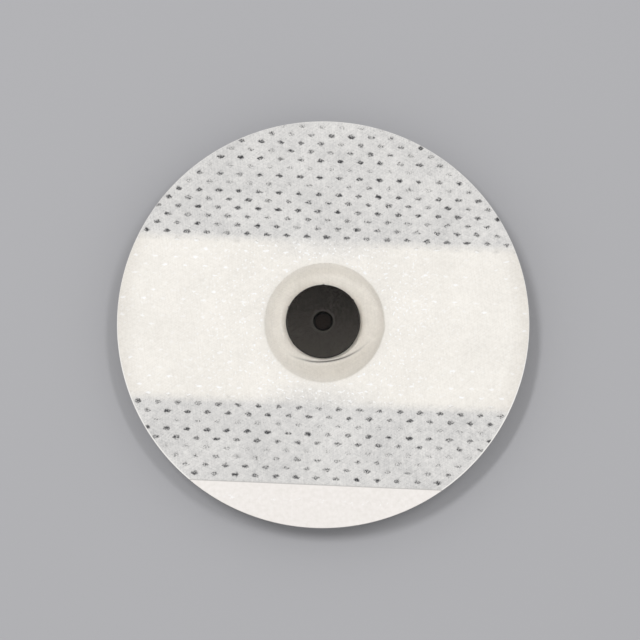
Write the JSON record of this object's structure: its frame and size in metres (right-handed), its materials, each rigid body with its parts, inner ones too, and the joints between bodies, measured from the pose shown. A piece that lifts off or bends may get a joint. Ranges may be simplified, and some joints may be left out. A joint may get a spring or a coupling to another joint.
{
  "type": "ecg electrode",
  "caption": "Round disposable monitoring electrode: nonwoven adhesive disc, cross strip, lifting tab, gel disc over a snap sensor, and a snap stud for a lead wire underneath.",
  "frame": {"origin": "centre of the stud's flat tip, on the surface that the electrode stands on", "axes": "+Z along the snap's axis towards the skin side, X along the cross strip, -Y towards the lifting tab"},
  "size_m": [0.05, 0.05, 0.0057],
  "materials": {
    "nonwoven_cloth": "point-bonded nonwoven with an adhesive coat",
    "white_film": "white film",
    "tab_film": "white film",
    "carbon_plastic": "moulded, carbon filled",
    "stud_plastic": "moulded, carbon filled",
    "clear_hydrogel": "clear wet gel"
  },
  "bodies": {
    "root": {"nonwoven_backing": "nonwoven_cloth", "reinforcing_strip": "white_film", "pull_tab_strip": "tab_film", "sensor_eyelet": "carbon_plastic", "snap_stud": "stud_plastic", "hydrogel_disc": "clear_hydrogel"}
  },
  "joints": []
}
